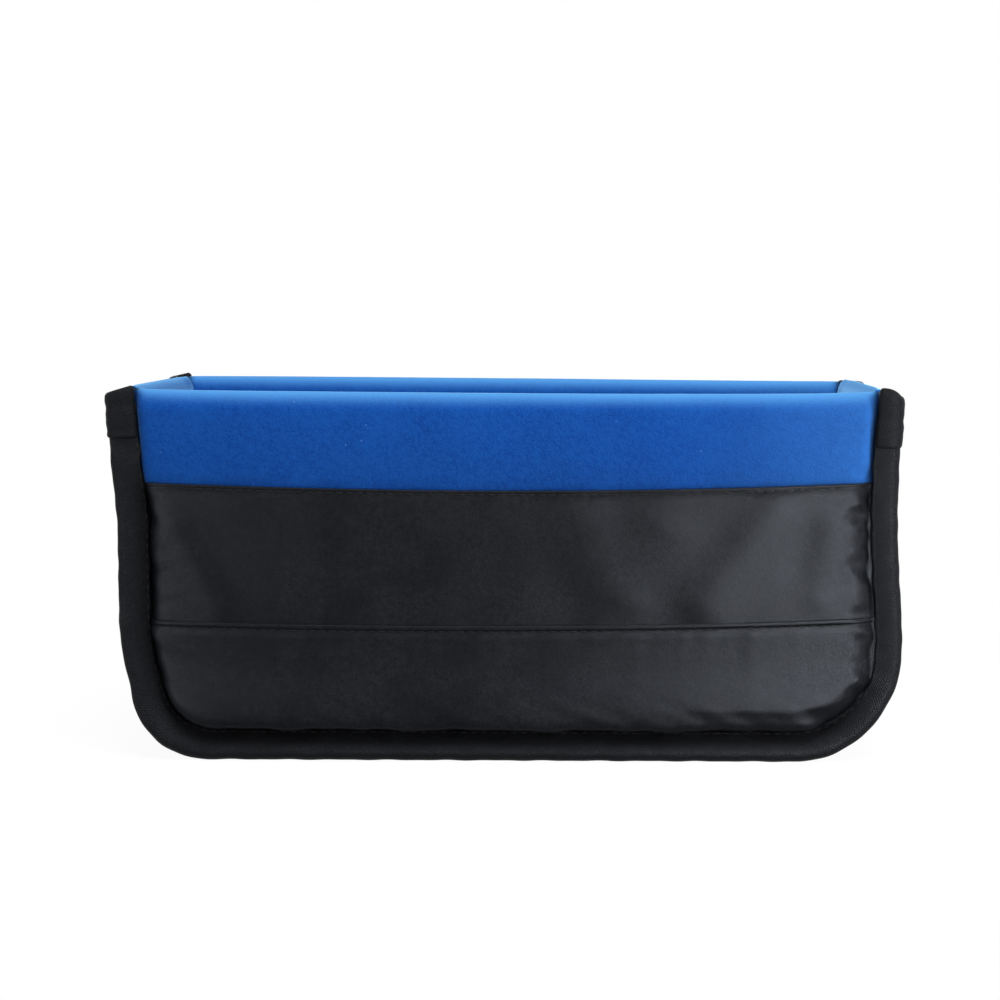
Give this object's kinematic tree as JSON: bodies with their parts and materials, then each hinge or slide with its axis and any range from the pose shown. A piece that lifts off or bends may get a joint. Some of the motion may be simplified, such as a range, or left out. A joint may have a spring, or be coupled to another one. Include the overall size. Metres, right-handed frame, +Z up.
{
  "type": "camera bag insert",
  "caption": "Open-topped padded insert for a camera bag: loop-lined foam walls, nylon covers, tape-bound rounded edges and padded dividers that lift out.",
  "frame": {"origin": "on the floor under the middle of the insert", "axes": "+X along the long side, to the right seen from the front; +Y from front to back; +Z up"},
  "size_m": [0.29, 0.1278, 0.136],
  "materials": {
    "blue_loop": "brushed loop nap",
    "charcoal_nylon": "satin woven nylon",
    "binding_tape": "ribbed woven tape",
    "foam": "closed-cell foam, matte",
    "stiffener": "matte sheet",
    "hook_tape": "hook pile"
  },
  "bodies": {
    "shell": {"front_lining": "blue_loop", "back_lining": "blue_loop", "gusset_lining": "blue_loop", "front_lower_panel": "charcoal_nylon", "front_upper_panel": "charcoal_nylon", "back_cover": "charcoal_nylon", "gusset_cover": "charcoal_nylon", "front_binding": "binding_tape", "back_binding": "binding_tape", "front_left_tape_end": "binding_tape", "front_right_tape_end": "binding_tape", "back_right_tape_end": "binding_tape", "back_left_tape_end": "binding_tape", "front_foam": "foam", "back_foam": "foam", "gusset_foam": "foam", "base_stiffener": "stiffener"},
    "left_divider": {"left_divider_cover": "blue_loop", "left_divider_foam": "foam", "left_divider_front_hook": "hook_tape", "left_divider_back_hook": "hook_tape"},
    "right_divider": {"right_divider_cover": "blue_loop", "right_divider_foam": "foam", "right_divider_front_hook": "hook_tape", "right_divider_back_hook": "hook_tape"}
  },
  "joints": [
    {"name": "left_divider_lift", "type": "slide", "parent": "shell", "child": "left_divider", "axis": [0, 0, 1], "range_m": [0, 0.13]},
    {"name": "right_divider_lift", "type": "slide", "parent": "shell", "child": "right_divider", "axis": [0, 0, 1], "range_m": [0, 0.13]}
  ]
}
